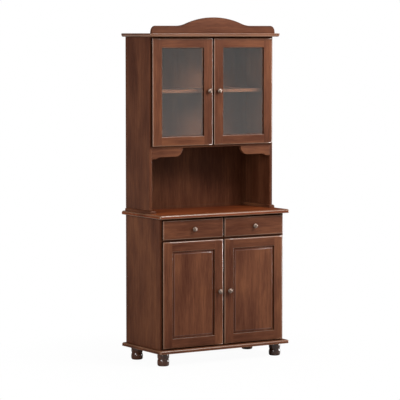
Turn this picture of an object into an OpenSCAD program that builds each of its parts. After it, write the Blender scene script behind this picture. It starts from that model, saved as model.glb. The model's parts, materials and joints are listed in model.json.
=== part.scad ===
// Two-part pine dresser: a base cabinet with two drawers over two panelled doors,
// and a hutch with an open niche under a glazed two-door cupboard.
// X runs to the right, Y to the back, Z up. The origin is on the floor, at the
// middle of the footprint.

/* [Overall] */
// Width over the countertop
overall_w = 880; // [860:5:960]
// Depth over the countertop and the door knobs
overall_d = 430; // [400:5:480]
// Width over both carcasses
carcass_w = 838; // [740:2:850]
// Thickness of the side panels
side_t = 18; // [16:1:22]
// How far a moulded board stands past the base carcass at the front
front_overhang = 41.5; // [40:0.5:55]
// How far the carcasses stop short of the moulded boards at the back
back_overhang = 10; // [0:1:16]

/* [Heights] */
// Height of the turned feet
foot_h = 74; // [60:1:90]
// Top of the base board
base_top = 94; // [90:1:96]
// Underside of the countertop
counter_bottom = 838; // [836:1:840]
// Top of the countertop
counter_top = 860; // [856:1:866]
// Underside of the upper cupboard's floor board
upper_floor_bottom = 1228; // [1220:1:1232]
// Underside of the cornice board
cornice_bottom = 1859; // [1857:1:1862]
// Top of the cornice board
cornice_top = 1879; // [1877:1:1884]
// Top of the arched pediment
overall_h = 1970; // [1960:1:1990]

/* [Doors and drawers] */
// Thickness of doors and drawer fronts
door_t = 17; // [16:0.5:17.5]
// Width of a door's stiles
stile_w = 62; // [52:1:72]
// Gap between a pair of doors
pair_gap = 6; // [4:1:8]
// Underside of the lower doors
lower_door_bottom = 98; // [97:1:110]
// Top of the lower doors
lower_door_top = 708; // [700:1:710]
// Underside of the drawer fronts
drawer_front_bottom = 716; // [714:1:722]
// Top of the drawer fronts
drawer_front_top = 830; // [822:1:834]
// Underside of the upper doors
upper_door_bottom = 1238; // [1234:1:1246]
// Top of the upper doors
upper_door_top = 1853; // [1845:1:1855]
// Height of a lower door's rails
lower_rail_h = 58; // [48:1:70]
// Height of an upper door's rails
upper_rail_h = 55; // [45:1:65]
// Thickness of the door glass
glass_t = 4; // [3:0.5:5]

/* [Knobs] */
// Diameter of a knob
knob_d = 28; // [22:1:30]
// How far a knob stands out
knob_out = 23; // [18:1:23]
// Height of the lower doors' knobs
lower_knob_z = 407; // [300:1:500]
// Height of the upper doors' knobs
upper_knob_z = 1551; // [1450:1:1650]

/* [Hidden] */
$fn = 96;
play = 0.5;                               // between a fixed board and its neighbour
reach = 1;                                // how far a cutter runs past what it cuts
half_w = overall_w / 2;
half_d = overall_d / 2;
back_y = half_d - back_overhang;          // back edges of both carcasses
outer_x = carcass_w / 2;
inner_x = outer_x - side_t;
board_t = 18;
back_t = 8;
back_inset = 4;                           // back panel set in from the back edges
back_groove = 6;                          // how deep it is let into the sides
back_front_y = back_y - back_inset - back_t;

// base carcass
front_y = -half_d + front_overhang;       // front edges of the base's sides
door_gap = 1.5;                           // between a door and the edges behind it
door_back_y = front_y - door_gap;
door_front_y = door_back_y - door_t;
deck_z = 703;                             // underside of the board under the drawers
deck_top = deck_z + board_t;
shelf_z = 400;                            // underside of the lower shelf
shelf_setback = 30;                       // shelf behind the front edges of the sides
board_edge = [[9, 10], [3, 3]];           // base board: rounding at the top, below
counter_edge = [[10, 12], [5, 5]];
cornice_edge = [[4, 4], [10, 12]];
board_corner_r = 12;
counter_corner_r = 14;

// shelf pins
pin_in = 9;
pin_half_w = 4;
pin_h = 5;

// hutch
hutch_front_y = -61.5;
glazed_back_y = hutch_front_y - door_gap;
glazed_front_y = glazed_back_y - door_t;
upper_shelf_z = 1540;
upper_shelf_t = 19;
upper_shelf_front_y = -34;
cornice_front_y = -113;
runner_h = 18;                            // bearers under the hutch's sides
runner_front_y = -82;
runner_out = 5;                           // how far a bearer stands past the side, outside
runner_in = 15;                           // and inside
runner_round = [9, 12];                   // rounding of its outer edge and front end

// pediment
pediment_front_y = -86;
pediment_half_w = 418;
pediment_t = 18;
shoulder_h = 43;                          // height at both ends
shoulder_r = [28, 38];
hollow_x = 250;                           // where the hollow rise starts
turn_x = 191;                             // where it meets the crown
crown_part = 0.78;                        // share of the rise taken by the crown

// feet
foot_x = 381;
foot_y = 146;
foot_r = 34;
foot_neck_r = 31;
foot_bottom_r = 28;
foot_groove_z = 39;                       // height of the groove between the two bulges
foot_arc = 58;                            // half angle of a bulge
foot_steps = 10;
bolt_r = 4;
bolt_bore_r = 4.1;
bolt_low = 34;
bolt_high = 90;

// doors
door_outer_x = 408;
door_inner_x = pair_gap / 2;
door_mid = door_t / 2;
lower_door_z = [lower_door_bottom, lower_door_top];
upper_door_z = [upper_door_bottom, upper_door_top];
drawer_front_z = [drawer_front_bottom, drawer_front_top];
groove_d = 8;                             // groove that holds a panel or the glass
groove_half_w = 3;
groove_end = 20;                          // groove stops this far from the stile's ends
frame_gap = 1;                            // play round a panel in its groove
tongue_half_w = 2.8;
bevel_w = 20;                             // sloping border of a raised panel
panel_front_back = 1.5;                   // raised field lies this far behind the frame
panel_back_in = 4;                        // panel's back lies this far inside the door
panel_play = 0.3;
glass_in = 5;                             // glass held by this much all round
bead = 6;                                 // width of a glazing bead

// hinges: each door turns on one axis inside its own thickness, in place of the
// links of a concealed hinge
cup_r = 17.5;
cup_depth = 12;
cup_in = 23.5;                            // cup centre in from the door's outer edge
flange_x = [8, 42];
flange_half_h = 26;
plate_y = [22, 52];                       // hinge plate behind the side's front edge
plate_half_h = 24;
plate_t = 3;
arm_y = [4, 56];
arm_half_h = 6;
arm_t = 8;
lower_hinge_z = [190, 616];
upper_hinge_z = [1330, 1761];

// knobs
knob_base_r = 8;
knob_neck_r = 5.5;
knob_base_h = 5.5;
knob_neck_h = 8;
knob_crown_h = 8;
knob_under_h = 5;
knob_under_r = 6;
screw_r = 2;
screw_bore_r = 2.2;
screw_in = 11;                            // how far the screw runs into the knob
screw_head_r = 4;
screw_head_h = 2;
knob_x = door_inner_x + 30;

// drawers
drawer_side_t = 12;
drawer_box_h = 88;
drawer_box_z = 727;
drawer_back_y = 150;
drawer_bottom_t = 4;
drawer_x = [-door_outer_x, -door_inner_x];
drawer_mid_x = (drawer_x[0] + drawer_x[1]) / 2;
drawer_knob_z = (drawer_front_bottom + drawer_front_top) / 2;
divider_t = 18;
box_play = 8;                             // beside a drawer box
box_x = [-inner_x + box_play, -divider_t / 2 - box_play];
bottom_z = drawer_box_z + 8;
bottom_in = 5;                            // how deep a drawer's bottom is let in
strip_w = 20;                             // wooden strips that a drawer runs on
strip_h = drawer_box_z - deck_top - 1;
strip_front = 25;                         // where they start behind the front edge
strip_back = 30;

// brackets
bracket_tip_x = 197.5;
bracket_h = 60;
bracket_r = 48;
bracket_rise = 10;
bracket_flat = 52;                        // where the small step ends
step_start = 0.4;                         // its start, as a share of that length

stain = [0.38, 0.22, 0.15];
stain_light = [0.46, 0.27, 0.18];
stain_dark = [0.20, 0.11, 0.07];
pewter = [0.45, 0.40, 0.35];
steel = [0.70, 0.71, 0.72];

// ---- helpers ----

// A box from its low and high corners
module span(lo, hi) translate(lo) cube(hi - lo);

// The piece for the left (-1) or the right (1) side, drawn once for the left
module on_side(s) { if (s < 0) children(); else mirror([1, 0, 0]) children(); }

// Rounded rectangle with its own radius at the front corners, square at the back
module plan_outline(x0, x1, y0, y1, r) {
    difference() {
        translate([x0, y0]) square([x1 - x0, y1 - y0]);
        for (c = [[x0, 1], [x1, -1]]) translate([c[0], y0]) difference() {
            translate([c[1] < 0 ? -r : 0, 0]) square([r, r]);
            translate([c[1] * r, r]) circle(r);
        }
    }
}

// Points of a board's edge section: out is the edge, the top and the underside
// are rounded with elliptical quarters
function nose(out, z0, z1, top_w, top_h, low_w, low_h, n = 6) = concat(
    [for (i = [0:n]) [out - top_w * (1 - sin(90 * i / n)), z1 - top_h * (1 - cos(90 * i / n))]],
    [for (i = [0:n]) [out - low_w * (1 - cos(90 * i / n)), z0 + low_h * (1 - sin(90 * i / n))]]);

// Moulded board with a nosed front and sides and a square back edge
module moulded_board(x, y0, y1, z0, z1, top, low, r) {
    edge = nose(0, z0, z1, top[0], top[1], low[0], low[1]);
    section_x = concat([for (p = edge) [x + p[0], p[1]]],
        [for (i = [len(edge) - 1:-1:0]) [-x - edge[i][0], edge[i][1]]]);
    section_y = concat([[y1, z1]], [for (p = edge) [y0 - p[0], p[1]]], [[y1, z0]]);
    intersection() {
        translate([0, y1 + 1, 0]) rotate([90, 0, 0]) linear_extrude(y1 - y0 + 2) polygon(section_x);
        rotate([90, 0, 90]) translate([0, 0, -x - 1]) linear_extrude(2 * x + 2) polygon(section_y);
        translate([0, 0, z0 - 1]) linear_extrude(z1 - z0 + 2) plan_outline(-x, x, y0, y1, r);
    }
}

// Quarter arc as points, centre c, radii rx and rz, from angle a0 to a1
function arc(c, rx, rz, a0, a1, n = 12) =
    [for (i = [0:n]) let (a = a0 + (a1 - a0) * i / n) [c[0] + rx * cos(a), c[1] + rz * sin(a)]];

// An outline in X and Z, made thick from y0 towards the back
module upright(y0, t) translate([0, y0 + t, 0]) rotate([90, 0, 0]) linear_extrude(t) children();

// Half a bulge's outline seen from its middle: out from r_in to r_out, half_h high
function bulge(r_in, r_out, z_mid, half_h) =
    [for (i = [1:foot_steps]) let (a = foot_arc * (2 * i / foot_steps - 1))
        [r_in + (r_out - r_in) * (cos(a) - cos(foot_arc)) / (1 - cos(foot_arc)),
         z_mid + half_h * sin(a) / sin(foot_arc)]];

// ---- base carcass ----

module bun_foot(sx, sy) {
    low_half = foot_groove_z / 2;
    high_half = (foot_h - foot_groove_z) / 2;
    profile = concat([[0, 0], [foot_bottom_r, 0]],
        bulge(foot_neck_r - 1, foot_r, low_half, low_half),
        bulge(foot_neck_r - 1, foot_r, foot_groove_z + high_half, high_half),
        [[0, foot_h]]);
    color(stain_dark) translate([sx * foot_x, sy * foot_y, 0]) difference() {
        rotate_extrude() polygon(profile);
        translate([0, 0, bolt_low]) cylinder(r = bolt_bore_r, h = foot_h);
    }
}

module foot_bolts() color(steel) for (sx = [-1, 1], sy = [-1, 1])
    translate([sx * foot_x, sy * foot_y, bolt_low])
        cylinder(r = bolt_r, h = bolt_high - bolt_low);

module base_board() color(stain) difference() {
    moulded_board(half_w, -half_d, half_d, foot_h, base_top,
        board_edge[0], board_edge[1], board_corner_r);
    for (sx = [-1, 1], sy = [-1, 1]) translate([sx * foot_x, sy * foot_y, foot_h - reach])
        cylinder(r = bolt_bore_r, h = bolt_high - foot_h + reach);
}

module lower_side(s) color(stain) on_side(s) difference() {
    span([-outer_x, front_y, base_top], [-inner_x, back_y, counter_bottom]);
    span([-inner_x - back_groove, back_front_y, base_top - reach],
         [-inner_x + reach, back_front_y + back_t, counter_bottom + reach]);
}

module lower_back_panel() color(stain)
    span([-inner_x - back_groove + 1, back_front_y + panel_play, base_top + play],
         [inner_x + back_groove - 1, back_front_y + back_t - panel_play, counter_bottom - play]);

module drawer_deck() color(stain)
    span([-inner_x, front_y, deck_z], [inner_x, back_front_y - play, deck_top]);

module drawer_divider() color(stain)
    span([-divider_t / 2, front_y, deck_top], [divider_t / 2, back_front_y - play, counter_bottom]);

// Strips that the drawer sides run on: one on each carcass side, two on the divider
module drawer_runners() color(stain_light) for (s = [-1, 1]) on_side(s)
    for (x = [-inner_x, -divider_t / 2 - strip_w])
        span([x, front_y + strip_front, deck_top],
             [x + strip_w, back_front_y - strip_back, deck_top + strip_h]);

module lower_shelf() color(stain)
    span([-inner_x + 1, front_y + shelf_setback, shelf_z],
         [inner_x - 1, back_front_y - 2, shelf_z + board_t]);

// Steel steps on the side panels that a shelf rests on
module shelf_pins(z, ys) color(steel) for (s = [-1, 1], y = ys) on_side(s)
    span([-inner_x, y - pin_half_w, z - pin_h], [-inner_x + pin_in, y + pin_half_w, z]);

module lower_shelf_pins() shelf_pins(shelf_z, [front_y + 70, back_front_y - 50]);

module countertop() color(stain)
    moulded_board(half_w, -half_d, half_d, counter_bottom, counter_top,
        counter_edge[0], counter_edge[1], counter_corner_r);

// ---- hutch ----

module hutch_bearer(s) color(stain) on_side(s) {
    x0 = -outer_x - runner_out;
    x1 = -inner_x + runner_in;
    z0 = counter_top;
    z1 = counter_top + runner_h;
    rw = runner_round[0];
    rh = runner_round[1];
    small = [4, 6];
    section = concat([[x1, z0]],
        arc([x1 - small[0], z1 - small[1]], small[0], small[1], 0, 90, 5),
        arc([x0 + rw, z1 - rh], rw, rh, 90, 180, 6),
        [[x0, z0]]);
    end_section = concat([[back_y, z0], [back_y, z1]],
        arc([runner_front_y + rw, z1 - rh], rw, rh, 90, 180, 6),
        [[runner_front_y, z0]]);
    intersection() {
        translate([0, back_y + reach, 0]) rotate([90, 0, 0])
            linear_extrude(back_y - runner_front_y + 2 * reach) polygon(section);
        rotate([90, 0, 90]) translate([0, 0, x0 - reach])
            linear_extrude(x1 - x0 + 2 * reach) polygon(end_section);
    }
}

module upper_side(s) color(stain) on_side(s) difference() {
    span([-outer_x, hutch_front_y, counter_top + runner_h], [-inner_x, back_y, cornice_bottom]);
    span([-inner_x - back_groove, back_front_y, counter_top],
         [-inner_x + reach, back_front_y + back_t, cornice_bottom + reach]);
}

// The back panel runs down to the countertop between the bearers
module upper_back_panel() color(stain) {
    y0 = back_front_y + panel_play;
    y1 = back_front_y + back_t - panel_play;
    panel_half_w = inner_x + back_groove - 1;
    foot_half_w = inner_x - runner_in - play;
    span([-panel_half_w, y0, counter_top + runner_h + play],
         [panel_half_w, y1, cornice_bottom - play]);
    span([-foot_half_w, y0, counter_top], [foot_half_w, y1, counter_top + runner_h + 1]);
}

module upper_floor() color(stain)
    span([-inner_x, hutch_front_y, upper_floor_bottom],
         [inner_x, back_front_y - play, upper_floor_bottom + board_t]);

module upper_shelf() color(stain_light)
    span([-inner_x + 1, upper_shelf_front_y, upper_shelf_z],
         [inner_x - 1, back_front_y - 2, upper_shelf_z + upper_shelf_t]);

module upper_shelf_pins()
    shelf_pins(upper_shelf_z, [upper_shelf_front_y + 40, back_front_y - 50]);

module cornice_board() color(stain)
    moulded_board(half_w, cornice_front_y, half_d, cornice_bottom, cornice_top,
        cornice_edge[0], cornice_edge[1], board_corner_r);

// Arched board: shoulders, a hollow rise on each side and a round crown
module pediment() {
    shoulder_z = cornice_top + shoulder_h;
    crown_rise = (overall_h - shoulder_z) * crown_part;
    crown_r = (pow(turn_x, 2) + pow(crown_rise, 2)) / (2 * crown_rise);
    crown_c = overall_h - crown_r;
    crown_a = asin(turn_x / crown_r);
    rise = crown_c + crown_r * cos(crown_a) - shoulder_z;
    right = concat([[pediment_half_w, cornice_top]],
        arc([pediment_half_w - shoulder_r[0], shoulder_z - shoulder_r[1]],
            shoulder_r[0], shoulder_r[1], 0, 90, 8),
        [for (i = [0:8]) let (u = i / 8)
            [hollow_x - (hollow_x - turn_x) * u, shoulder_z + rise * u * u]],
        [for (i = [1:12]) let (a = crown_a * (1 - i / 12))
            [crown_r * sin(a), crown_c + crown_r * cos(a)]]);
    left = [for (i = [len(right) - 2:-1:0]) [-right[i][0], right[i][1]]];
    color(stain) upright(pediment_front_y, pediment_t) polygon(concat(right, left));
}

// Scalloped bracket under the upper cupboard's floor
module bracket(s) color(stain) on_side(s) {
    x0 = -inner_x;
    z1 = upper_floor_bottom;
    z0 = z1 - bracket_h;
    outline = concat([[x0, z1], [x0, z0]],
        [for (i = [0:6]) let (u = i / 6)
            [x0 + bracket_flat * (step_start + (1 - step_start) * u),
             z0 + bracket_rise * (1 - cos(180 * u)) / 2]],
        arc([-bracket_tip_x - bracket_r, z1], bracket_r, bracket_h - bracket_rise, -90, 0, 12));
    upright(hutch_front_y, board_t) polygon(outline);
}

// ---- hinges ----

// Fixed half: the plate on the side panel and the arm that reaches to the cup
module hinge_arms(y_front, zs) color(steel) for (s = [-1, 1], z = zs) on_side(s) {
    span([-inner_x, y_front + plate_y[0], z - plate_half_h],
         [-inner_x + plate_t, y_front + plate_y[1], z + plate_half_h]);
    span([-inner_x + plate_t, y_front + arm_y[0], z - arm_half_h],
         [-inner_x + plate_t + arm_t, y_front + arm_y[1], z + arm_half_h]);
}

module lower_hinge_arms() hinge_arms(front_y, lower_hinge_z);
module upper_hinge_arms() hinge_arms(hutch_front_y, upper_hinge_z);

// Moving half: the cup set in the back of the door, with its flange
module hinge_cups(s, y_back, zs) color(steel) on_side(s) for (z = zs) {
    translate([-door_outer_x + cup_in, y_back, z]) rotate([90, 0, 0])
        cylinder(r = cup_r, h = cup_depth);
    span([-door_outer_x + flange_x[0], y_back, z - flange_half_h],
         [-door_outer_x + flange_x[1], y_back + 1, z + flange_half_h]);
}

// ---- doors ----

// A bore through a board from its back face at y_back, t is the board's thickness
module bore(x, y_back, z, r, t) translate([x, y_back + reach, z]) rotate([90, 0, 0])
    cylinder(r = r, h = t + 2 * reach);

// Stiles with a groove for the panel; cup_zs are the hinge cups, knob_z the knob's bore
module stiles(s, y_back, zz, cup_zs, knob_z) color(stain) on_side(s) difference() {
    y_mid = y_back - door_mid;
    for (x = [-door_outer_x, -door_inner_x - stile_w])
        span([x, y_back - door_t, zz[0]], [x + stile_w, y_back, zz[1]]);
    for (x = [-door_outer_x + stile_w - groove_d, -door_inner_x - stile_w - reach])
        span([x, y_mid - groove_half_w, zz[0] + groove_end],
             [x + groove_d + reach, y_mid + groove_half_w, zz[1] - groove_end]);
    for (z = cup_zs) translate([-door_outer_x + cup_in, y_back + reach, z]) rotate([90, 0, 0])
        cylinder(r = cup_r, h = cup_depth + reach);
    bore(-knob_x, y_back, knob_z, screw_bore_r, door_t);
}

module rails(s, y_back, zz, h) color(stain) on_side(s) difference() {
    y_mid = y_back - door_mid;
    for (z = [zz[0], zz[1] - h])
        span([-door_outer_x + stile_w, y_back - door_t, z],
             [-door_inner_x - stile_w, y_back, z + h]);
    span([-door_outer_x, y_mid - groove_half_w, zz[0] + h - groove_d],
         [0, y_mid + groove_half_w, zz[1] - h + groove_d]);
}

// Raised panel: a tongue in the groove, a sloping border and a flat field
module raised_panel(s, y_back, zz, h) color(stain) on_side(s) {
    x0 = -door_outer_x + stile_w;
    x1 = -door_inner_x - stile_w;
    z0 = zz[0] + h;
    z1 = zz[1] - h;
    field_y = y_back - door_t + panel_front_back;
    back = y_back - panel_back_in;
    front_lip = y_back - door_mid - tongue_half_w;
    back_lip = y_back - door_mid + tongue_half_w;
    lip = groove_d - frame_gap;
    section_x = [
        [x0 - lip, front_lip], [x0 - lip, back_lip], [x0 + panel_play, back_lip],
        [x0 + panel_play, back], [x1 - panel_play, back], [x1 - panel_play, back_lip],
        [x1 + lip, back_lip], [x1 + lip, front_lip], [x1 - panel_play, front_lip],
        [x1 - bevel_w, field_y], [x0 + bevel_w, field_y], [x0 + panel_play, front_lip]];
    section_z = [for (p = section_x)
        [p[0] < (x0 + x1) / 2 ? p[0] - x0 + z0 : p[0] - x1 + z1, p[1]]];
    spare = 20;
    intersection() {
        translate([0, 0, z0 - spare]) linear_extrude(z1 - z0 + 2 * spare) polygon(section_x);
        rotate([0, 90, 0]) mirror([1, 0, 0]) translate([0, 0, x0 - spare])
            linear_extrude(x1 - x0 + 2 * spare) polygon(section_z);
    }
}

// Glass pane in the groove's place, held from behind by beads
module pane(s, y_back, zz, h) color([0.75, 0.80, 0.80, 0.4]) on_side(s)
    span([-door_outer_x + stile_w - glass_in, y_back - door_mid - glass_t / 2,
          zz[0] + h - glass_in],
         [-door_inner_x - stile_w + glass_in, y_back - door_mid + glass_t / 2,
          zz[1] - h + glass_in]);

module glazing_beads(s, y_back, zz, h) color(stain) on_side(s) {
    x0 = -door_outer_x + stile_w;
    x1 = -door_inner_x - stile_w;
    z0 = zz[0] + h;
    z1 = zz[1] - h;
    y0 = y_back - door_mid + glass_t / 2;
    for (x = [x0, x1 - bead]) span([x, y0, z0], [x + bead, y_back, z1]);
    for (z = [z0, z1 - bead]) span([x0 + bead, y0, z], [x1 - bead, y_back, z + bead]);
}

// ---- knobs ----

// Mushroom knob with its screw from behind, through is what the screw passes
module knob(x, y_front, z, through) color(pewter) translate([x, y_front, z]) rotate([90, 0, 0]) {
    head_z = knob_out - knob_crown_h;
    difference() {
        rotate_extrude() polygon(concat([[0, 0], [knob_base_r, 0]],
            arc([knob_base_r, knob_base_h], knob_base_r - knob_neck_r, knob_base_h - 1.5,
                -90, -180, 5),
            [[knob_neck_r, knob_neck_h]],
            arc([knob_under_r, head_z], knob_d / 2 - knob_under_r, knob_under_h, -90, 0, 6),
            arc([0, head_z], knob_d / 2, knob_crown_h, 0, 90, 12)));
        translate([0, 0, -reach]) cylinder(r = screw_bore_r, h = screw_in + 2 * reach);
    }
    translate([0, 0, -through]) cylinder(r = screw_r, h = through + screw_in);
    translate([0, 0, -through - screw_head_h]) cylinder(r = screw_head_r, h = screw_head_h);
}

module door_knob(s, y_front, z) knob(s * knob_x, y_front, z, door_t);
module drawer_knob(s)
    knob(-s * drawer_mid_x, door_front_y, drawer_knob_z, door_t + drawer_side_t);

// ---- drawers ----

module drawer_front(s) color(stain) on_side(s) difference() {
    span([drawer_x[0], door_front_y, drawer_front_z[0]],
         [drawer_x[1], door_back_y, drawer_front_z[1]]);
    bore(drawer_mid_x, door_back_y, drawer_knob_z, screw_bore_r, door_t);
}

// Two sides, a back and an inner front, grooved for the bottom
module drawer_box(s) color(stain_light) on_side(s) difference() {
    z0 = drawer_box_z;
    z1 = drawer_box_z + drawer_box_h;
    groove = drawer_side_t - bottom_in;
    union() {
        for (x = [box_x[0], box_x[1] - drawer_side_t])
            span([x, door_back_y, z0], [x + drawer_side_t, drawer_back_y, z1]);
        for (y = [door_back_y, drawer_back_y - drawer_side_t])
            span([box_x[0], y, z0], [box_x[1], y + drawer_side_t, z1]);
    }
    span([box_x[0] + groove, door_back_y + groove, bottom_z - 0.1],
         [box_x[1] - groove, drawer_back_y - groove, bottom_z + drawer_bottom_t + 0.1]);
    bore(drawer_mid_x, door_back_y + drawer_side_t, drawer_knob_z, screw_bore_r, drawer_side_t);
}

module drawer_bottom(s) color(stain_light) on_side(s) {
    edge = drawer_side_t - bottom_in + play;
    span([box_x[0] + edge, door_back_y + edge, bottom_z],
         [box_x[1] - edge, drawer_back_y - edge, bottom_z + drawer_bottom_t]);
}

// ---- one module for each door piece ----

module lower_stiles(s) stiles(s, door_back_y, lower_door_z, lower_hinge_z, lower_knob_z);
module lower_rails(s) rails(s, door_back_y, lower_door_z, lower_rail_h);
module lower_panel(s) raised_panel(s, door_back_y, lower_door_z, lower_rail_h);
module lower_cups(s) hinge_cups(s, door_back_y, lower_hinge_z);
module lower_knob(s) door_knob(s, door_front_y, lower_knob_z);
module upper_stiles(s) stiles(s, glazed_back_y, upper_door_z, upper_hinge_z, upper_knob_z);
module upper_rails(s) rails(s, glazed_back_y, upper_door_z, upper_rail_h);
module upper_glass(s) pane(s, glazed_back_y, upper_door_z, upper_rail_h);
module upper_beads(s) glazing_beads(s, glazed_back_y, upper_door_z, upper_rail_h);
module upper_cups(s) hinge_cups(s, glazed_back_y, upper_hinge_z);
module upper_knob(s) door_knob(s, glazed_front_y, upper_knob_z);

// ---- the pieces ----

bun_foot(-1, -1);  // bun_foot_front_left
bun_foot(1, -1);  // bun_foot_front_right
bun_foot(-1, 1);  // bun_foot_rear_left
bun_foot(1, 1);  // bun_foot_rear_right
foot_bolts();
base_board();
lower_side(-1);  // lower_side_left
lower_side(1);  // lower_side_right
lower_back_panel();
drawer_deck();
drawer_divider();
drawer_runners();
lower_shelf();
lower_shelf_pins();
countertop();
hutch_bearer(-1);  // hutch_bearer_left
hutch_bearer(1);  // hutch_bearer_right
upper_side(-1);  // upper_side_left
upper_side(1);  // upper_side_right
upper_back_panel();
upper_floor();
upper_shelf();
upper_shelf_pins();
cornice_board();
pediment();
bracket(-1);  // bracket_left
bracket(1);  // bracket_right
lower_hinge_arms();
upper_hinge_arms();
drawer_front(-1);  // drawer_front_left
drawer_box(-1);  // drawer_box_left
drawer_bottom(-1);  // drawer_bottom_left
drawer_knob(-1);  // drawer_knob_left
drawer_front(1);  // drawer_front_right
drawer_box(1);  // drawer_box_right
drawer_bottom(1);  // drawer_bottom_right
drawer_knob(1);  // drawer_knob_right
lower_stiles(-1);  // lower_stiles_left
lower_rails(-1);  // lower_rails_left
lower_panel(-1);  // lower_panel_left
lower_cups(-1);  // lower_hinge_cups_left
lower_knob(-1);  // lower_knob_left
lower_stiles(1);  // lower_stiles_right
lower_rails(1);  // lower_rails_right
lower_panel(1);  // lower_panel_right
lower_cups(1);  // lower_hinge_cups_right
lower_knob(1);  // lower_knob_right
upper_stiles(-1);  // upper_stiles_left
upper_rails(-1);  // upper_rails_left
upper_glass(-1);  // upper_glass_left
upper_beads(-1);  // glazing_beads_left
upper_cups(-1);  // upper_hinge_cups_left
upper_knob(-1);  // upper_knob_left
upper_stiles(1);  // upper_stiles_right
upper_rails(1);  // upper_rails_right
upper_glass(1);  // upper_glass_right
upper_beads(1);  // glazing_beads_right
upper_cups(1);  // upper_hinge_cups_right
upper_knob(1);  // upper_knob_right
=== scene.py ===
import bpy
import bmesh
import json
import math
from itertools import count
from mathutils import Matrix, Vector


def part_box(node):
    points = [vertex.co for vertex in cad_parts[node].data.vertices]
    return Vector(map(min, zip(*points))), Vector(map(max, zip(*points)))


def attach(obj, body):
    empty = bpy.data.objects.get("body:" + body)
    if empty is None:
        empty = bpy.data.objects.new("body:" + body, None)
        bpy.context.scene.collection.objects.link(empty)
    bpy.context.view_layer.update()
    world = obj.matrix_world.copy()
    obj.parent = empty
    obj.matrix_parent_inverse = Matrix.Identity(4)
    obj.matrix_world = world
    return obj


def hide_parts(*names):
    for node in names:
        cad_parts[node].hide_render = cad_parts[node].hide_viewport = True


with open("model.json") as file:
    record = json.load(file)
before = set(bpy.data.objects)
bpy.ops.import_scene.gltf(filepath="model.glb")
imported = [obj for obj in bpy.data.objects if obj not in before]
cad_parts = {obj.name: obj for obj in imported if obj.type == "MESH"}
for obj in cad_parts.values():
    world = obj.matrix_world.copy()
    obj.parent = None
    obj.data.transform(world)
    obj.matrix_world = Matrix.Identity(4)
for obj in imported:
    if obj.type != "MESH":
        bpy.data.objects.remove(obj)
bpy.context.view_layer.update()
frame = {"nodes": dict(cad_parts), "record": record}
record = frame["record"]
bodyOf = {n: body for body, nodes in record["behaviour"]["bodies"].items() for n in nodes}
mm = 0.001
sides = ("left", "right")
print("frame loaded:", len(bodyOf), "nodes")


# small helpers for colours and shader nodes

# sRGB hex to linear
def hexColour(code):
    parts = [int(code[i:i + 2], 16) / 255 for i in (1, 3, 5)]
    linear = [c / 12.92 if c <= 0.04045 else ((c + 0.055) / 1.055) ** 2.4 for c in parts]
    return (*linear, 1.0)


# Settings are the node's own properties or the values of its sockets
def addNode(tree, kind, settings=None, links=None):
    node = tree.nodes.new(kind)
    for key, value in (settings or {}).items():
        if isinstance(key, str) and hasattr(node, key):
            setattr(node, key, value)
        else:
            node.inputs[key].default_value = value
    for key, source in (links or {}).items():
        tree.links.new(source, node.inputs[key])
    return node


def findNode(tree, kind):
    return next(n for n in tree.nodes if n.type == kind)


def startMaterial(name):
    material = bpy.data.materials.new(name)
    material.use_nodes = True
    tree = material.node_tree
    tree.nodes.clear()
    output = tree.nodes.new("ShaderNodeOutputMaterial")
    shader = tree.nodes.new("ShaderNodeBsdfPrincipled")
    tree.links.new(shader.outputs["BSDF"], output.inputs["Surface"])
    return material, tree, shader


def setRamp(ramp, stops):
    elements = ramp.color_ramp.elements
    while len(elements) < len(stops):
        elements.new(1.0)
    for element, (place, colour) in zip(elements, stops):
        element.position = place
        element.color = hexColour(colour)


# finishes

pineFinish = {
    "bandWidth": 14 * mm,         # late wood, drawn coarser than the true 3 to 5 mm so that it shows
    "bandStart": 0.42,
    "bandEnd": 0.62,
    "stretch": 14,                # how much longer the figure is along the grain
    "cloudStretch": 0.35,         # the scale of blotches and knots along the grain
    "blotchSize": 130 * mm,
    "patchSize": 45 * mm,
    "streakWidth": 4 * mm,
    "poreWidth": 1.2 * mm,
    "knotSpacing": 420 * mm,
    "knotCore": 0.02,             # shares of the knot spacing
    "knotRim": 0.06,
    "sway": 0.018,                # the figure wanders by up to 18 mm
    "swayScale": 4.0,
    "boardStep": (3.7, 5.3, 7.9),     # metres that the figure moves for a boardShift of 1
    "rampPlaces": (0.30, 0.43, 0.58),
    "glossier": 0.05,             # roughness runs from this much under the given value
    "duller": 0.06,               # to this much over it
    "poreDepth": 0.5,             # against the streaks' depth
    "bumpStrength": 0.12,
    "bumpDistance": 0.4 * mm,
}
# how much each layer lightens the stain; late wood takes less of it, knots more
figureWeights = {"band": 0.045, "blotch": 0.42, "patch": 0.13, "streak": 0.26, "knot": -0.25}


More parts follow.
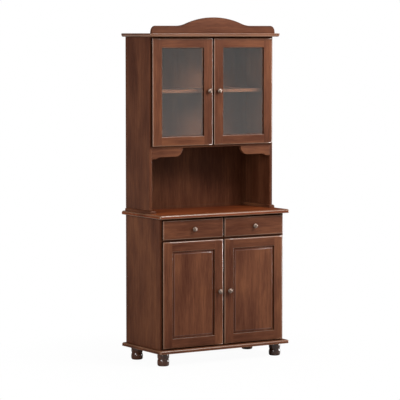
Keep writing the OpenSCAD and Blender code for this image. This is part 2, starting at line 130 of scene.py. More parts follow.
# Stained pine under satin lacquer: a soft figure along the grain, cloudy stain, a few knots
def stainedPine(name, grain, dark, middle, light, roughness=0.44, shine=0.06):
    material, tree, shader = startMaterial(name)
    axis = "XYZ".index(grain)
    stretch = [1.0, 1.0, 1.0]
    stretch[axis] = 1 / pineFinish["stretch"]
    mild = [1.0, 1.0, 1.0]
    mild[axis] = pineFinish["cloudStretch"]
    place = addNode(tree, "ShaderNodeTexCoord").outputs["Object"]
    board = addNode(tree, "ShaderNodeAttribute", {"attribute_name": "boardShift"})
    shift = addNode(tree, "ShaderNodeVectorMath", {"operation": "MULTIPLY", 1: pineFinish["boardStep"]},
                    {0: board.outputs["Fac"]})
    moved = addNode(tree, "ShaderNodeVectorMath", {"operation": "ADD"}, {0: place, 1: shift.outputs[0]})
    gentle = addNode(tree, "ShaderNodeMapping", {"Scale": mild}, {"Vector": moved.outputs[0]})
    wander = addNode(tree, "ShaderNodeTexNoise", {"Scale": pineFinish["swayScale"], "Detail": 2.0},
                     {"Vector": gentle.outputs[0]})
    sway = addNode(tree, "ShaderNodeVectorMath",
                   {"operation": "MULTIPLY_ADD", 1: (pineFinish["sway"],) * 3},
                   {0: wander.outputs["Color"], 2: moved.outputs[0]})
    along = addNode(tree, "ShaderNodeMapping", {"Scale": stretch}, {"Vector": sway.outputs[0]})
    bands = addNode(tree, "ShaderNodeTexNoise", {"Scale": 1 / pineFinish["bandWidth"], "Detail": 1.0},
                    {"Vector": along.outputs[0]})
    lateWood = addNode(tree, "ShaderNodeMapRange",
                       {"From Min": pineFinish["bandStart"], "From Max": pineFinish["bandEnd"]},
                       {"Value": bands.outputs["Fac"]})
    blotch = addNode(tree, "ShaderNodeTexNoise", {"Scale": 1 / pineFinish["blotchSize"], "Detail": 2.0},
                     {"Vector": gentle.outputs[0]})
    patch = addNode(tree, "ShaderNodeTexNoise", {"Scale": 1 / pineFinish["patchSize"], "Detail": 3.0},
                    {"Vector": along.outputs[0]})
    streak = addNode(tree, "ShaderNodeTexNoise",
                     {"Scale": 1 / pineFinish["streakWidth"], "Detail": 3.0, "Roughness": 0.6},
                     {"Vector": along.outputs[0]})
    pores = addNode(tree, "ShaderNodeTexNoise", {"Scale": 1 / pineFinish["poreWidth"], "Detail": 2.0},
                    {"Vector": along.outputs[0]})
    knots = addNode(tree, "ShaderNodeTexVoronoi", {"Scale": 1 / pineFinish["knotSpacing"]},
                    {"Vector": gentle.outputs[0]})
    knotMask = addNode(tree, "ShaderNodeMapRange",
                       {"From Min": pineFinish["knotCore"], "From Max": pineFinish["knotRim"],
                        "To Min": 1.0, "To Max": 0.0}, {"Value": knots.outputs["Distance"]})
    figure = addNode(tree, "ShaderNodeMath", {"operation": "MULTIPLY", 1: figureWeights["band"]},
                     {0: lateWood.outputs[0]})
    for layer, source in (("blotch", blotch.outputs["Fac"]), ("patch", patch.outputs["Fac"]),
                          ("streak", streak.outputs["Fac"]), ("knot", knotMask.outputs[0])):
        figure = addNode(tree, "ShaderNodeMath", {"operation": "MULTIPLY_ADD", 1: figureWeights[layer]},
                         {0: source, 2: figure.outputs[0]})
    ramp = addNode(tree, "ShaderNodeValToRGB", {}, {"Fac": figure.outputs[0]})
    setRamp(ramp, list(zip(pineFinish["rampPlaces"], (dark, middle, light))))
    tree.links.new(ramp.outputs["Color"], shader.inputs["Base Color"])
    satin = addNode(tree, "ShaderNodeMapRange",
                    {"To Min": roughness - pineFinish["glossier"],
                     "To Max": roughness + pineFinish["duller"]},
                    {"Value": patch.outputs["Fac"]})
    tree.links.new(satin.outputs[0], shader.inputs["Roughness"])
    relief = addNode(tree, "ShaderNodeMath", {"operation": "MULTIPLY_ADD", 1: pineFinish["poreDepth"]},
                     {0: pores.outputs["Fac"], 2: streak.outputs["Fac"]})
    bump = addNode(tree, "ShaderNodeBump",
                   {"Strength": pineFinish["bumpStrength"], "Distance": pineFinish["bumpDistance"]},
                   {"Height": relief.outputs[0]})
    tree.links.new(bump.outputs[0], shader.inputs["Normal"])
    shader.inputs["Specular IOR Level"].default_value = shine
    return material


# The same finish for boards whose grain runs along different axes
def pineSet(name, grains, colours, **surface):
    return {g: stainedPine(f"{name}, grain along {g}", g, **colours, **surface) for g in grains}


footFinish = {"dark": "#241007", "middle": "#341A0D", "light": "#4A2918", "roughness": 0.30, "shine": 0.05}
footCoat = {"Coat Weight": 0.7, "Coat Roughness": 0.10}


# Turned pine, stained nearly black under gloss lacquer, which gives it small bright lights
def turnedWood():
    material = stainedPine("lacquered dark turned pine", "Z", **footFinish)
    shader = findNode(material.node_tree, "BSDF_PRINCIPLED")
    for key, value in footCoat.items():
        shader.inputs[key].default_value = value
    return material


brassLook = {"cloudScale": 160.0, "detail": 4.0, "darkAt": 0.35, "lightAt": 0.65,
             "smooth": 0.38, "dull": 0.50}
zincLook = {"cloudScale": 220.0, "detail": 3.0, "darkAt": 0.3, "lightAt": 0.7,
            "smooth": 0.25, "dull": 0.40}


# Metal with clouds in its colour and wear: brass under a brown patina, or bright grey zinc plate
def cloudyMetal(name, look, dark, light):
    material, tree, shader = startMaterial(name)
    place = addNode(tree, "ShaderNodeTexCoord").outputs["Object"]
    cloud = addNode(tree, "ShaderNodeTexNoise", {"Scale": look["cloudScale"], "Detail": look["detail"]},
                    {"Vector": place})
    ramp = addNode(tree, "ShaderNodeValToRGB", {}, {"Fac": cloud.outputs["Fac"]})
    setRamp(ramp, [(look["darkAt"], dark), (look["lightAt"], light)])
    tree.links.new(ramp.outputs["Color"], shader.inputs["Base Color"])
    wear = addNode(tree, "ShaderNodeMapRange", {"To Min": look["smooth"], "To Max": look["dull"]},
                   {"Value": cloud.outputs["Fac"]})
    tree.links.new(wear.outputs[0], shader.inputs["Roughness"])
    shader.inputs["Metallic"].default_value = 1.0
    return material


pane = {"tint": "#EDF3F0", "smearScale": 3.0, "clean": 0.01, "smeared": 0.02, "ior": 1.5}


# Float glass, 4 mm, wiped a little less clean in places
def floatGlass():
    material, tree, shader = startMaterial("clear float glass")
    place = addNode(tree, "ShaderNodeTexCoord").outputs["Object"]
    smear = addNode(tree, "ShaderNodeTexNoise", {"Scale": pane["smearScale"], "Detail": 2.0},
                    {"Vector": place})
    wiped = addNode(tree, "ShaderNodeMapRange", {"To Min": pane["clean"], "To Max": pane["smeared"]},
                    {"Value": smear.outputs["Fac"]})
    tree.links.new(wiped.outputs[0], shader.inputs["Roughness"])
    shader.inputs["Base Color"].default_value = hexColour(pane["tint"])
    shader.inputs["Transmission Weight"].default_value = 1.0
    shader.inputs["IOR"].default_value = pane["ior"]
    # lamps shine through the pane
    ray = addNode(tree, "ShaderNodeLightPath")
    clear = addNode(tree, "ShaderNodeBsdfTransparent")
    both = addNode(tree, "ShaderNodeMixShader", {},
                   {0: ray.outputs["Is Shadow Ray"], 1: shader.outputs[0], 2: clear.outputs[0]})
    tree.links.new(both.outputs[0], findNode(tree, "OUTPUT_MATERIAL").inputs["Surface"])
    return material


stain = {"dark": "#35190D", "middle": "#482819", "light": "#5E3924"}
# lighter colours for rounded edges: a painted highlight along them
rubbedAndLit = {"dark": "#50331F", "middle": "#60402D", "light": "#704C38"}
# darker colours for the slopes round a panel's field: painted shade in the mouldings
shaded = {"dark": "#33180D", "middle": "#412114", "light": "#50301F"}
# a lighter, warmer copy of the stain for the countertop: painted light falling on it from above
brightLit = {"dark": "#3C190A", "middle": "#562711", "light": "#703A1C"}
# near-black colours for the narrow sides of doors and drawer fronts: painted shadow of the gaps
shadowed = {"dark": "#120602", "middle": "#190A04", "light": "#221008"}
natural = {"dark": "#A87A4C", "middle": "#C29464", "light": "#D4A878"}
pine = pineSet("walnut stained pine", "XYZ", stain)
# rounded edges in the lighter colours: a painted highlight
litEdgePine = pineSet("walnut stained pine, rubbed edges", "XZ", rubbedAndLit, roughness=0.30, shine=0.4)
glossPine = stainedPine("walnut stained pine, polished step", "Z", **stain, roughness=0.32, shine=0.35)
shadedPine = pineSet("walnut stained pine, deep in the mouldings", "Z", shaded, roughness=0.36, shine=0.12)
# narrow sides in near black: painted shadow where the gaps round doors and drawers fall
sideShadowPine = pineSet("walnut stained pine, sawn edges", "XZ", shadowed, roughness=0.6, shine=0.03)
# the countertop's lit copy of the stain: painted light from above
brightLitPine = stainedPine("walnut stained pine, warm countertop", "X", **brightLit)
innerPine = pineSet("clear lacquered pine", "Y", natural, roughness=0.5, shine=0.3)
darkTurned = turnedWood()
brass = cloudyMetal("aged brass, rubbed", brassLook, "#463931", "#7C6C62")
# dark brass for the parts behind the head: patina, with painted shade under the head
patinaAndShadeBrass = cloudyMetal("aged brass, dark in the hollows", brassLook, "#18100B", "#2E2119")
zinc = cloudyMetal("zinc plated steel", zincLook, "#A9ABAD", "#C9CBCC")
glass = floatGlass()
print("finishes made")


# modelling helpers

boardEdge = {"ease": 1 * mm, "easeSteps": 2, "easeAngle": 50}
shading = {"smoothAngle": 40, "flat": 0.985, "narrow": 0.85}     # the last two are cosines
boardNumbers = count(1)
boardShiftStep = 0.137


def deselectAll():
    if bpy.context.object and bpy.context.object.mode != "OBJECT":
        bpy.ops.object.mode_set(mode="OBJECT")
    bpy.ops.object.select_all(action="DESELECT")


def near(a, b):
    return abs(a - b) < 0.05 * mm


# Given one part of an edge's unit direction, which is near 1 or -1 where the edge runs that way
def runsAlong(part):
    return abs(part) > 0.9


def addBlock(low, high):
    deselectAll()
    low, high = Vector(low), Vector(high)
    bpy.ops.mesh.primitive_cube_add(size=1, location=(low + high) / 2)
    block = bpy.context.object
    block.scale = high - low
    bpy.ops.object.transform_apply(location=True, rotation=True, scale=True)
    return block


# Rounds the edges that wanted(middle, direction) picks
def roundEdges(block, radius, steps, wanted):
    bpy.context.view_layer.objects.active = block
    bpy.ops.object.mode_set(mode="EDIT")
    bpy.ops.mesh.select_mode(type="EDGE")
    bpy.ops.mesh.select_all(action="DESELECT")
    shape = bmesh.from_edit_mesh(block.data)
    for edge in shape.edges:
        a, b = (v.co for v in edge.verts)
        edge.select = wanted((a + b) / 2, (b - a).normalized())
    shape.select_flush_mode()
    bmesh.update_edit_mesh(block.data)
    bpy.ops.mesh.bevel(offset=radius, segments=steps, affect="EDGES", profile=0.5)
    bpy.ops.object.mode_set(mode="OBJECT")


def easeEdges(piece, width, steps, angle):
    easing = piece.modifiers.new("eased edges", "BEVEL")
    easing.width = width
    easing.segments = steps
    easing.limit_method = "ANGLE"
    easing.angle_limit = math.radians(angle)
    bpy.ops.object.modifier_apply(modifier=easing.name)


# The attribute moves the grain, so that no two boards look cut from one plank
def numberBoard(block):
    shift = block.data.attributes.new("boardShift", "FLOAT", "POINT")
    shift.data.foreach_set("value", [next(boardNumbers) * boardShiftStep] * len(block.data.vertices))


def smooth(piece):
    deselectAll()
    piece.select_set(True)
    bpy.context.view_layer.objects.active = piece
    bpy.ops.object.shade_smooth_by_angle(angle=math.radians(shading["smoothAngle"]))
    weighted = piece.modifiers.new("even shading", "WEIGHTED_NORMAL")
    weighted.keep_sharp = True
    bpy.ops.object.modifier_apply(modifier=weighted.name)


# A planed board: every edge is eased, and those that wanted picks are rounded more
def addBoard(low, high, radius, wanted, steps=4):
    block = addBlock(low, high)
    roundEdges(block, radius, steps, wanted)
    easeEdges(block, boardEdge["ease"], boardEdge["easeSteps"], boardEdge["easeAngle"])
    numberBoard(block)
    return block


def joinParts(parts):
    deselectAll()
    for part in parts:
        part.select_set(True)
    bpy.context.view_layer.objects.active = parts[0]
    bpy.ops.object.join()
    return bpy.context.object


# The second finish goes on rounded and sloping faces, the third on faces to the side, up and down
def settle(piece, name, material, *nodes, edges=None, ends=None):
    piece.name = name
    piece.data.name = name
    smooth(piece)
    piece.data.materials.clear()
    piece.data.materials.append(material)
    # the second finish paints highlight on rounded edges and shade on a panel's slopes
    if edges:
        piece.data.materials.append(edges)
        for face in piece.data.polygons:
            face.material_index = int(max(abs(c) for c in face.normal) < shading["flat"])
    # the third finish paints the shadow of the gaps on the narrow sides
    if ends:
        piece.data.materials.append(ends)
        for face in piece.data.polygons:
            if max(abs(face.normal.x), abs(face.normal.z)) > shading["narrow"]:
                face.material_index = 2
    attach(piece, bodyOf[nodes[0]])
    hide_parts(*nodes)


# Rings drawn up one over another, as on a lathe; the profile is (radius, height) pairs
def addTurned(profile, sectors=48):
    deselectAll()
    radius, height = profile[0]
    bpy.ops.mesh.primitive_circle_add(vertices=sectors, radius=radius, fill_type="NGON",
                                      location=(0, 0, height))
    turned = bpy.context.object
    bpy.ops.object.transform_apply(location=True, rotation=True, scale=True)
    bpy.ops.object.mode_set(mode="EDIT")
    bpy.ops.mesh.select_all(action="SELECT")
    for nextRadius, nextHeight in profile[1:]:
        bpy.ops.mesh.extrude_region_move(TRANSFORM_OT_translate={"value": (0, 0, nextHeight - height)})
        size = nextRadius / radius
        bpy.ops.transform.resize(value=(size, size, 1), center_override=(0, 0, nextHeight))
        radius, height = nextRadius, nextHeight
    bpy.ops.mesh.select_all(action="SELECT")
    bpy.ops.mesh.normals_make_consistent(inside=False)
    bpy.ops.object.mode_set(mode="OBJECT")
    return turned


# moulded boards: base, countertop and cornice

moulding = {"corner": 13 * mm, "cornerSteps": 5, "topSteps": 6, "lowSteps": 4, "backMargin": 1 * mm}
mouldedEdges = {                  # radius of the top edge and of the lower one
    "base_board": (9.5 * mm, 3 * mm),
    "countertop": (11 * mm, 5 * mm),
    "cornice_board": (4 * mm, 12 * mm),
}


def mouldedBoard(node, finish):
    low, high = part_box(node)
    topRadius, lowRadius = mouldedEdges[node]

    def onRim(middle, z):
        return near(middle.z, z) and middle.y < high.y - moulding["backMargin"]

    block = addBlock(low, high)
    roundEdges(block, moulding["corner"], moulding["cornerSteps"],
               lambda m, d: runsAlong(d.z) and near(m.y, low.y))
    roundEdges(block, topRadius, moulding["topSteps"], lambda m, d: onRim(m, high.z))
    roundEdges(block, lowRadius, moulding["lowSteps"], lambda m, d: onRim(m, low.z))
    numberBoard(block)
    # rounded edges of the moulded boards carry the painted highlight
    settle(block, node + "_piece", finish, node, edges=litEdgePine["X"])


mouldedBoard("base_board", pine["X"])
# the countertop takes the lighter, warmer copy: painted light from above
mouldedBoard("countertop", brightLitPine)
mouldedBoard("cornice_board", pine["X"])
print("moulded boards made")


# flat boards of both carcasses, with rounded front edges

carcass = {"sideEdge": 2.5 * mm, "shelfEdge": 2 * mm}


def sidePanel(node):
    low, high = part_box(node)
    block = addBoard(low, high, carcass["sideEdge"], lambda m, d: runsAlong(d.z) and near(m.y, low.y))
    settle(block, node + "_piece", pine["Z"], node)


def flatBoard(node, grain):
    low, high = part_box(node)
    block = addBoard(low, high, carcass["shelfEdge"], lambda m, d: near(m.y, low.y))
    settle(block, node + "_piece", pine[grain], node)


for level in ("lower", "upper"):
    for side in sides:
        sidePanel(f"{level}_side_{side}")

for node in ("lower_shelf", "upper_shelf", "upper_floor", "drawer_deck"):
    flatBoard(node, "X")
flatBoard("drawer_divider", "Y")
print("carcass boards made")


# bearers under the hutch's sides

bearer = {"corner": 6 * mm, "cornerSteps": 4, "round": 10 * mm, "roundSteps": 5,
          "inner": 4 * mm, "innerSteps": 3}


def hutchBearer(side):
    node = "hutch_bearer_" + side
    low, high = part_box(node)
    innerX = high.x if side == "left" else low.x
    block = addBlock(low, high)
    roundEdges(block, bearer["corner"], bearer["cornerSteps"],
               lambda m, d: runsAlong(d.z) and near(m.y, low.y))
    roundEdges(block, bearer["round"], bearer["roundSteps"],
               lambda m, d: near(m.z, high.z) and not near(m.y, high.y) and not near(m.x, innerX))
    roundEdges(block, bearer["inner"], bearer["innerSteps"],
               lambda m, d: near(m.z, high.z) and near(m.x, innerX))
    numberBoard(block)
    settle(block, node + "_piece", pine["Y"], node)


for side in sides:
    hutchBearer(side)
print("bearers made")


# turned feet: two bulges with a groove between them

foot = {
    "groove": 0.53,               # share of the height
    "bottom": 0.82,               # shares of the greatest radius
    "neck": 0.885,
    "lowerSwell": 1.0,
    "upperSwell": 0.985,
    "reach": 62,                  # degrees of arc on each side of a bulge's middle
    "steps": 9,
    "chamferIn": 3 * mm,
    "chamferUp": 0.6 * mm,
}


def footProfile(low, high):
    radius = (high.x - low.x) / 2
    height = high.z - low.z
    split = foot["groove"] * height
    reach = foot["reach"]
    reachCos = math.cos(math.radians(reach))
    reachSin = math.sin(math.radians(reach))
    points = [(radius * foot["bottom"] - foot["chamferIn"], 0), (radius * foot["bottom"], foot["chamferUp"])]
    for start, end, swell in ((0, split, foot["lowerSwell"]), (split, height, foot["upperSwell"])):
        for i in range(1, foot["steps"]):
            angle = math.radians(-reach + 2 * reach * i / foot["steps"])
            share = (math.cos(angle) - reachCos) / (1 - reachCos)
            place = start + (end - start) * (0.5 + 0.5 * math.sin(angle) / reachSin)
            points.append((radius * (foot["neck"] + (swell - foot["neck"]) * share), place))
        points.append((radius * foot["neck"], end))
    return points


def bunFoot(node):
    low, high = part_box(node)
    turned = addTurned(footProfile(low, high))
    turned.location = ((low.x + high.x) / 2, (low.y + high.y) / 2, low.z)
    bpy.ops.object.transform_apply(location=True, rotation=True, scale=True)
    numberBoard(turned)
    settle(turned, node + "_piece", darkTurned, node)


for end in ("front", "rear"):
    for side in sides:
        bunFoot(f"bun_foot_{end}_{side}")
print("feet made")


# knobs: a flared base, a thin neck and a domed head; the screw's head shows behind

knob = {
    "base": 8 * mm,
    "neck": 5.4 * mm,
    # up to the head: base or neck radius, mm added to it, mm out from the front
    "stem": (("base", 0, 0), ("base", 0, 1.2), ("base", -1, 2.2),
             ("neck", 0.5, 4), ("neck", 0, 6.5), ("neck", 0.9, 9)),
    "dome": 8 * mm,
    "domeSteps": 12,
    "underside": 5 * mm,
    "undersideSteps": 4,
    "undersideFullness": 0.8,     # under 1 swells it
    "rubbedAndLit": 10 * mm,            # bare brass this far back from the top; behind it patina and painted shade under the head
    "screwHead": ((4, 0), (4, -1), (3, -1.8), (1.2, -2)),     # radius and height in mm
    "screwSectors": 20,
    "boxFront": 12 * mm,          # the drawer box's front, which the drawer's screws pass through
}


def knobProfile(radius, out):
    rim = out - knob["dome"]
    points = [(knob[part] + added * mm, height * mm) for part, added, height in knob["stem"]]
    for i in range(1, knob["undersideSteps"] + 1):
        angle = math.radians(-90 + 90 * i / knob["undersideSteps"])
        swell = math.cos(angle) ** knob["undersideFullness"]
        points.append((knob["neck"] + (radius - knob["neck"]) * swell,
                       rim + knob["underside"] * math.sin(angle)))
    for i in range(1, knob["domeSteps"]):
        angle = math.radians(90 * i / knob["domeSteps"])
        points.append((radius * math.cos(angle), rim + knob["dome"] * math.sin(angle)))
    return points


def addKnob(node, frontY, backY):
    low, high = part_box(node)
    turned = addTurned(knobProfile((high.x - low.x) / 2, frontY - low.y))
    screw = addTurned([(radius * mm, height * mm) for radius, height in knob["screwHead"]],
                      knob["screwSectors"])
    screw.location = (0, 0, frontY - backY)
    piece = joinParts([turned, screw])
    piece.rotation_euler = (math.radians(90), 0, 0)
    piece.location = ((low.x + high.x) / 2, frontY, (low.z + high.z) / 2)
    bpy.ops.object.transform_apply(location=True, rotation=True, scale=True)
    settle(piece, node + "_piece", brass, node)
    # faces behind the front take the dark brass: patina and painted shade under the head
    piece.data.materials.append(patinaAndShadeBrass)
    for face in piece.data.polygons:
        face.material_index = int(face.center.y > low.y + knob["rubbedAndLit"])


for side in sides:
    for level in ("lower", "upper"):
        low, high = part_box(f"{level}_stiles_{side}")
        addKnob(f"{level}_knob_{side}", low.y, high.y)
    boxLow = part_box("drawer_box_" + side)[0]
    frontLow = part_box("drawer_front_" + side)[0]
    addKnob("drawer_knob_" + side, frontLow.y, boxLow.y + knob["boxFront"])
print("knobs made")


# doors

door = {
    "outer": 10.5 * mm,           # radius of the frame's outer front edges
    "outerSteps": 5,
    "sticking": 2 * mm,           # radius of its inner front edges
    "stickingSteps": 4,
    "tongue": 7 * mm,             # how far a panel goes into its frame
    "panelGap": 0.3 * mm,
    "floor": 3 * mm,              # flat strip round the panel
    "border": 9.5 * mm,           # slope that rises from it
    "borderDrop": 6.5 * mm,       # how far the strip lies behind the frame's front
    "step": 3 * mm,
    "stepFaces": ((0.5, 0.7), (0.6, 0.3)),     # width and rise of its two faces, in steps
    "polishedFrom": 0.1,          # cosines between the front and the polished faces
    "polishedTo": 0.92,
}


# Two stiles or two rails, each given by its corners and a test for its inner edge
def frameParts(members, isFrontEdge):
    parts = []
    for low, high, isInner in members:
        block = addBlock(low, high)
        roundEdges(block, door["outer"], door["outerSteps"],
                   lambda m, d: isFrontEdge(m, d) and not isInner(m))
        roundEdges(block, door["sticking"], door["stickingSteps"],
                   lambda m, d: isFrontEdge(m, d) and isInner(m))
        numberBoard(block)
        parts.append(block)
    return joinParts(parts)


# Stiles run the whole height; the rails are scribed over the rounded inner edges
def doorFrame(side, level, openLow, openHigh):
    stiles, rails = f"{level}_stiles_{side}", f"{level}_rails_{side}"
    low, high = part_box(stiles)
    railLow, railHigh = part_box(rails)
    uprights = [((x0, low.y, low.z), (x1, high.y, high.z), lambda m, inner=inner: near(m.x, inner))
                for x0, x1, inner in ((low.x, railLow.x, railLow.x), (railHigh.x, high.x, railHigh.x))]
    # rounded edges of stiles and rails carry a painted highlight, their narrow sides painted shadow
    settle(frameParts(uprights, lambda m, d: near(m.y, low.y)), stiles + "_piece", pine["Z"], stiles,
           edges=litEdgePine["Z"], ends=sideShadowPine["Z"])
    over = door["sticking"]
    crossbars = [((railLow.x - over, low.y, z0), (railHigh.x + over, high.y, z1),
                  lambda m, inner=inner: near(m.z, inner))
                 for z0, z1, inner in ((low.z, openLow.z, openLow.z), (openHigh.z, high.z, openHigh.z))]
    settle(frameParts(crossbars, lambda m, d: near(m.y, low.y) and runsAlong(d.x)), rails + "_piece",
           pine["X"], rails, edges=litEdgePine["X"], ends=sideShadowPine["X"])


def raisedPanel(side, openLow, openHigh):
    node = "lower_panel_" + side
    low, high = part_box(node)
    gap = door["panelGap"]
    sheet = addBlock((openLow.x + gap, low.y + door["borderDrop"], openLow.z + gap),
                     (openHigh.x - gap, high.y, openHigh.z - gap))
    bpy.ops.object.mode_set(mode="EDIT")
    bpy.ops.mesh.select_mode(type="FACE")
    bpy.ops.mesh.select_all(action="DESELECT")
    shape = bmesh.from_edit_mesh(sheet.data)
    for face in shape.faces:
        face.select = face.normal.y < -0.9
    bmesh.update_edit_mesh(sheet.data)
    bpy.ops.mesh.inset(thickness=door["floor"], depth=0)
    bpy.ops.mesh.inset(thickness=door["border"], depth=door["borderDrop"] - door["step"])
    for width, rise in door["stepFaces"]:
        bpy.ops.mesh.inset(thickness=door["step"] * width, depth=door["step"] * rise)
    bpy.ops.object.mode_set(mode="OBJECT")
    numberBoard(sheet)
    # the slopes round the field take the darker copy: painted shade in the mouldings
    settle(sheet, node + "_piece", pine["Z"], node, edges=shadedPine["Z"])
    # the steep step round the field is polished
    sheet.data.materials.append(glossPine)
    for face in sheet.data.polygons:
        if door["polishedFrom"] < -face.normal.y < door["polishedTo"]:
            face.material_index = 2


for side in sides:
    low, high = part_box("lower_panel_" + side)
    margin = Vector((door["tongue"], 0, door["tongue"]))
    doorFrame(side, "lower", low + margin, high - margin)
    raisedPanel(side, low + margin, high - margin)
    low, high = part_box("glazing_beads_" + side)
    doorFrame(side, "upper", low, high)
print("doors made")


# drawer fronts, rounded like the doors

def drawerFront(side):
    node = "drawer_front_" + side
    low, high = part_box(node)
    block = addBoard(low, high, door["outer"], lambda m, d: near(m.y, low.y), door["outerSteps"])
    # the front's rounded edges carry a painted highlight, its narrow sides painted shadow
    settle(block, node + "_piece", pine["X"], node, edges=litEdgePine["X"], ends=sideShadowPine["X"])


for side in sides:
    drawerFront(side)
print("drawers made")


# shaped boards: a strip of many columns whose lower or upper row follows a curve, made thick

shapedEdge = {"ease": 2.5 * mm, "easeSteps": 3, "easeAngle": 60}


def shapedBoard(low, high, columns, curve, followsTop):
    deselectAll()
    bpy.ops.mesh.primitive_grid_add(x_subdivisions=columns, y_subdivisions=1, size=1)
    strip = bpy.context.object
    width = high.x - low.x
    for vertex in strip.data.vertices:
        share = vertex.co.x + 0.5
        x = low.x + width * share
        onTop = vertex.co.y > 0
        z = high.z if onTop else low.z
        if onTop == followsTop:
            x, z = curve(share)
        vertex.co = (x, high.y, z)
    thick = strip.modifiers.new("thickness", "SOLIDIFY")
    thick.thickness = high.y - low.y
    thick.offset = 1
    bpy.ops.object.modifier_apply(modifier=thick.name)
    bpy.ops.object.mode_set(mode="EDIT")
    bpy.ops.mesh.select_all(action="SELECT")
    bpy.ops.mesh.normals_make_consistent(inside=False)
    bpy.ops.object.mode_set(mode="OBJECT")
    easeEdges(strip, shapedEdge["ease"], shapedEdge["easeSteps"], shapedEdge["easeAngle"])
    numberBoard(strip)
    return strip


arch = {
    "columns": 80,
    "shoulder": 43 * mm,          # height of the flat stretches
    "turn": 191 * mm,             # half width of the round crown
    "hollow": 250 * mm,           # half width with the hollows beside it
    "crownShare": 0.78,           # how much of the rise is the crown's
    "cornerWide": 28 * mm,
    "cornerHigh": 38 * mm,
    "cornerShare": 0.1,           # how many of the columns go round the corners
}


def archHeight(x, low, high):
    shoulder = low.z + arch["shoulder"]
    crown = high.z - shoulder
    drop = crown * arch["crownShare"]
    radius = (arch["turn"] ** 2 + drop ** 2) / (2 * drop)
    if x < arch["turn"]:
        return high.z - radius + math.sqrt(radius ** 2 - x ** 2)
    if x < arch["hollow"]:
        share = (arch["hollow"] - x) / (arch["hollow"] - arch["turn"])
        return shoulder + crown * (1 - arch["crownShare"]) * share ** 2
    return shoulder


# Columns are evenly spaced, but the last ones turn round the corners by angle
def archPoint(share, low, high):
    half = (high.x - low.x) / 2
    t = abs(share - 0.5) * 2
    sign = -1 if share < 0.5 else 1
    shoulder = low.z + arch["shoulder"]
    cornerFrom = 1 - arch["cornerShare"]
    if t > cornerFrom:
        angle = math.radians(90 * (t - cornerFrom) / arch["cornerShare"])
        x = half - arch["cornerWide"] + arch["cornerWide"] * math.sin(angle)
        z = shoulder - arch["cornerHigh"] + arch["cornerHigh"] * math.cos(angle)
        return sign * x, z
    x = (half - arch["cornerWide"]) * t / cornerFrom
    return sign * x, archHeight(x, low, high)


def archedPediment():
    low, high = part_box("pediment")
    board = shapedBoard(low, high, arch["columns"], lambda share: archPoint(share, low, high), True)
    settle(board, "pediment_piece", pine["X"], "pediment")


scallop = {
    "columns": 40,
    "round": 48 * mm,             # width of the quarter round at the free end
    "roundFrom": 0.6,             # share of the columns before it
    "flat": 52 * mm,              # width of the lower edge's flat and its rise together
    "flatShare": 0.4,
    "riseShare": 0.6,
    "rise": 10 * mm,
}


def scallopPoint(share, low, high, side):
    run = share if side == "left" else 1 - share      # 0 at the side panel, 1 at the free end
    length = high.x - low.x
    before = scallop["roundFrom"]
    if run > before:
        angle = math.radians(90 * (run - before) / (1 - before))
        x = length - scallop["round"] + scallop["round"] * math.sin(angle)
        z = high.z - (high.z - low.z - scallop["rise"]) * math.cos(angle)
    else:
        x = (length - scallop["round"]) * run / before
        flat = scallop["flatShare"] * scallop["flat"]
        t = min(max((x - flat) / (scallop["riseShare"] * scallop["flat"]), 0), 1)
        z = low.z + scallop["rise"] * (1 - math.cos(math.pi * t)) / 2
    return (low.x + x if side == "left" else high.x - x), z


def scallopedBracket(side):
    node = "bracket_" + side
    low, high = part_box(node)
    board = shapedBoard(low, high, scallop["columns"], lambda share: scallopPoint(share, low, high, side),
                        False)
    settle(board, node + "_piece", pine["X"], node)


archedPediment()
for side in sides:
    scallopedBracket(side)
print("pediment and brackets made")


# what stays as the frame has it

def paint(node, material):
    shown = frame["nodes"][node]
    shown.data.materials.clear()
    shown.data.materials.append(material)


for node in ("lower_back_panel", "upper_back_panel"):
    paint(node, pine["Z"])
for node in ("foot_bolts", "lower_shelf_pins", "upper_shelf_pins", "lower_hinge_arms", "upper_hinge_arms"):
    paint(node, zinc)
paint("drawer_runners", innerPine["Y"])
for side in sides:
    paint("drawer_box_" + side, innerPine["Y"])
    paint("drawer_bottom_" + side, innerPine["Y"])
    paint("glazing_beads_" + side, pine["Z"])
    paint("upper_glass_" + side, glass)
    for level in ("lower", "upper"):
        paint(f"{level}_hinge_cups_{side}", zinc)
print("frame's own pieces painted")


# studio

paper = {
    "radius": 60.0,
    "sides": 96,
    "colour": "#B9B7B4",
    "roughness": 0.9,
    "shine": 0.1,
    "glow": 0.96,                 # under the cabinet, rising to 1 between these distances in metres
    "fadeStart": 0.4,
    "fadeEnd": 1.3,
    "mirrorStart": 3.0,           # from here on it glows in reflections too
    "mirrorEnd": 8.0,
}


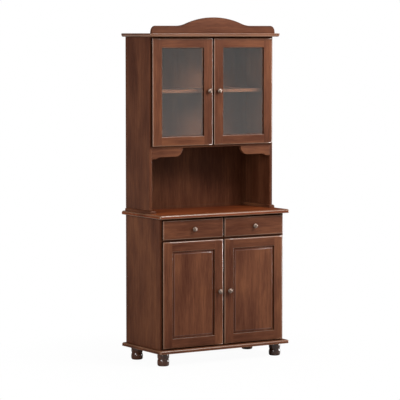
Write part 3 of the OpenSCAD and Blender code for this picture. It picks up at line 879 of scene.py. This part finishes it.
# Pale paper that glows for the camera, enough to lose its far edge and keep a soft shadow under the
# cabinet; reflections see only its far part glow
def studioPaper():
    material, tree, shader = startMaterial("pale studio paper")
    shader.inputs["Base Color"].default_value = hexColour(paper["colour"])
    shader.inputs["Roughness"].default_value = paper["roughness"]
    shader.inputs["Specular IOR Level"].default_value = paper["shine"]
    glow = addNode(tree, "ShaderNodeEmission", {"Color": (1, 1, 1, 1)})
    place = addNode(tree, "ShaderNodeTexCoord").outputs["Object"]
    distance = addNode(tree, "ShaderNodeVectorMath", {"operation": "LENGTH"}, {0: place})
    share = addNode(tree, "ShaderNodeMapRange",
                    {"From Min": paper["fadeStart"], "From Max": paper["fadeEnd"], "To Min": paper["glow"],
                     "To Max": 1.0}, {"Value": distance.outputs["Value"]})
    ray = addNode(tree, "ShaderNodeLightPath")
    seenShare = addNode(tree, "ShaderNodeMath", {"operation": "MULTIPLY"},
                        {0: share.outputs[0], 1: ray.outputs["Is Camera Ray"]})
    farShare = addNode(tree, "ShaderNodeMapRange",
                       {"From Min": paper["mirrorStart"], "From Max": paper["mirrorEnd"]},
                       {"Value": distance.outputs["Value"]})
    glowShare = addNode(tree, "ShaderNodeMath", {"operation": "MULTIPLY_ADD"},
                        {0: farShare.outputs[0], 1: ray.outputs["Is Glossy Ray"], 2: seenShare.outputs[0]})
    mixed = addNode(tree, "ShaderNodeMixShader", {},
                    {0: glowShare.outputs[0], 1: shader.outputs[0], 2: glow.outputs[0]})
    tree.links.new(mixed.outputs[0], findNode(tree, "OUTPUT_MATERIAL").inputs["Surface"])
    return material


deselectAll()
bpy.ops.mesh.primitive_circle_add(vertices=paper["sides"], radius=paper["radius"], fill_type="NGON",
                                  location=(0, 0, 0))
floor = bpy.context.object
floor.name = "studio_floor"
floor.data.materials.append(studioPaper())

surround = {
    "seen": 1.0,
    "ambient": 0.48,
    "mirroredFront": 0.38,        # added to the ambient strength in reflections of the front
    "mirroredBack": -0.36,        # and of the back
    "frontUpTo": -0.3,            # the direction's Y, where the one gives way to the other
    "backFrom": 0.5,
}


# A white surround: full for the camera, dimmer as a light; reflections see it bright in front of
# the cabinet and dark behind it
def studioSurround():
    world = bpy.data.worlds.new("studio light")
    world.use_nodes = True
    tree = world.node_tree
    background = tree.nodes["Background"]
    background.inputs["Color"].default_value = (1, 1, 1, 1)
    ray = addNode(tree, "ShaderNodeLightPath")
    heading = addNode(tree, "ShaderNodeSeparateXYZ", {},
                      {0: addNode(tree, "ShaderNodeTexCoord").outputs["Generated"]})
    around = addNode(tree, "ShaderNodeMapRange",
                     {"From Min": surround["frontUpTo"], "From Max": surround["backFrom"],
                      "To Min": surround["mirroredFront"], "To Max": surround["mirroredBack"]},
                     {"Value": heading.outputs["Y"]})
    mirrored = addNode(tree, "ShaderNodeMath", {"operation": "MULTIPLY_ADD", 2: surround["ambient"]},
                       {0: ray.outputs["Is Glossy Ray"], 1: around.outputs[0]})
    strength = addNode(tree, "ShaderNodeMath",
                       {"operation": "MULTIPLY_ADD", 1: surround["seen"] - surround["ambient"]},
                       {0: ray.outputs["Is Camera Ray"], 2: mirrored.outputs[0]})
    tree.links.new(strength.outputs[0], background.inputs["Strength"])
    return world


bpy.context.scene.world = studioSurround()

lampAim = (0.0, 0.0, 1.7)
lamps = {                         # place and size in metres, power in watts
    "key": {"place": (2.1, -2.9, 3.5), "size": 1.8, "power": 125.0},
    "top": {"place": (0.9, -2.0, 3.1), "size": 1.0, "power": 88.0},
    "fill": {"place": (-5.4, -2.1, 2.7), "size": 2.2, "power": 270.0},
    "rim": {"place": (4.5, -0.9, 1.25), "size": 0.5, "tall": 2.4, "power": 150.0},
    "low rim": {"place": (4.4, -1.0, 0.34), "size": 0.6, "power": 100.0},
    "low": {"place": (-4.2, -3.6, 0.9), "size": 0.4, "power": 34.0},
}


def addLamp(name, place, size, power, tall=None):
    lamp = bpy.data.lights.new(name, "AREA")
    lamp.shape = "RECTANGLE"
    lamp.size = size
    lamp.size_y = tall or size
    lamp.energy = power
    holder = bpy.data.objects.new(name, lamp)
    bpy.context.scene.collection.objects.link(holder)
    holder.location = place
    holder.rotation_euler = (Vector(lampAim) - Vector(place)).to_track_quat("-Z", "Y").to_euler()


for name, lamp in lamps.items():
    addLamp(name, **lamp)

cameraView = {"place": (-6.573, -10.370, 1.889), "turn": -32.20, "tilt": 4.526, "lens": 191.5, "farEnd": 200}
camera = bpy.data.objects.new("camera", bpy.data.cameras.new("camera"))
bpy.context.scene.collection.objects.link(camera)
camera.location = cameraView["place"]
camera.rotation_euler = (math.radians(90 - cameraView["tilt"]), 0, math.radians(cameraView["turn"]))
camera.data.lens = cameraView["lens"]
camera.data.clip_end = cameraView["farEnd"]
bpy.context.scene.camera = camera
bpy.context.scene.view_settings.view_transform = "Standard"
print("studio set")
